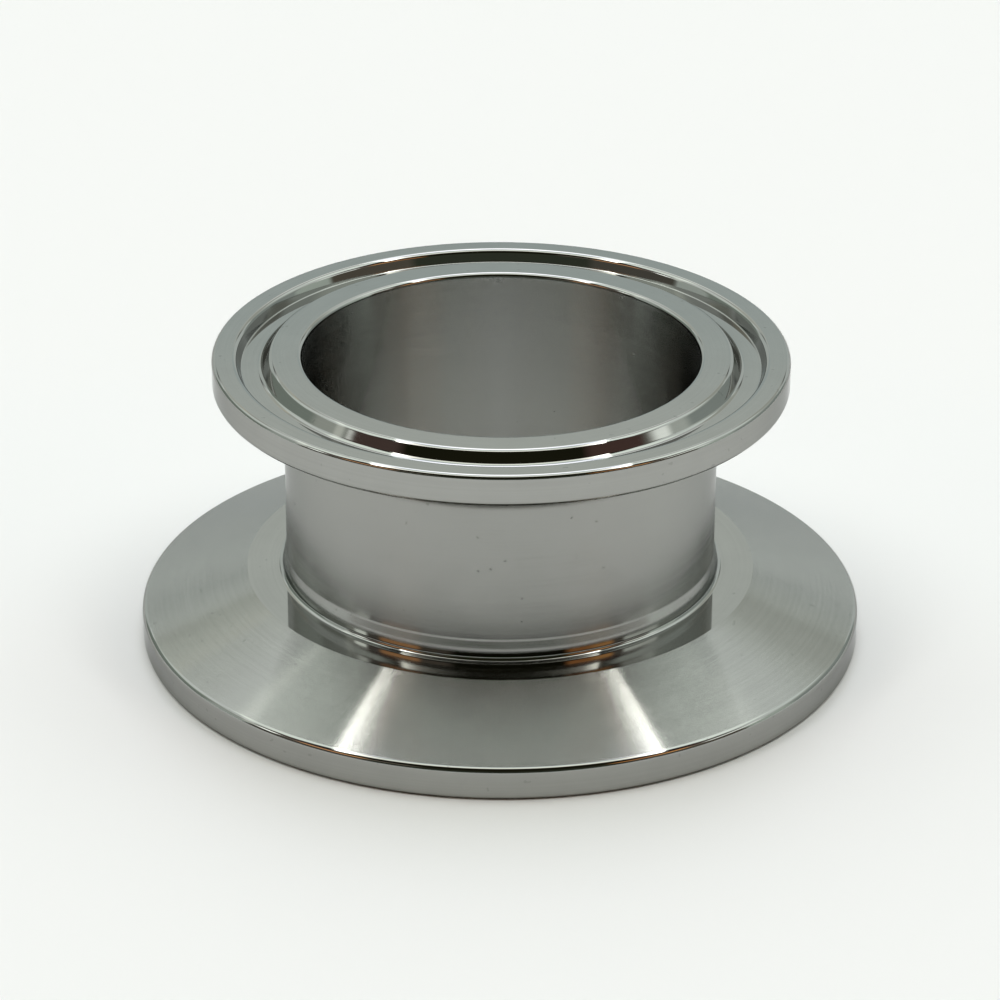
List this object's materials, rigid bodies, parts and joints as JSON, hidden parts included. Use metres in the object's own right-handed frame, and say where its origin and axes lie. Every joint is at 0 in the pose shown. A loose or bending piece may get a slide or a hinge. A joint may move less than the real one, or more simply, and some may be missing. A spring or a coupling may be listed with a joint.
{
  "type": "sanitary clamp reducer",
  "caption": "Short stainless steel reducer with a small clamp flange on a straight tube and a large clamp flange below, each with a gasket groove, around a straight through bore.",
  "frame": {"origin": "middle of the large sealing face, on the bore axis, where the fitting stands", "axes": "+Z along the bore, from the large clamp end up to the small one; X and Y lie in the sealing face and are equal, as the part is round"},
  "size_m": [0.064, 0.064, 0.0266],
  "materials": {
    "stainless_steel": "flanges polished with fine turning marks, tube and bore brushed round the axis"
  },
  "bodies": {
    "root": {"reducer_body": "stainless_steel"}
  },
  "joints": []
}
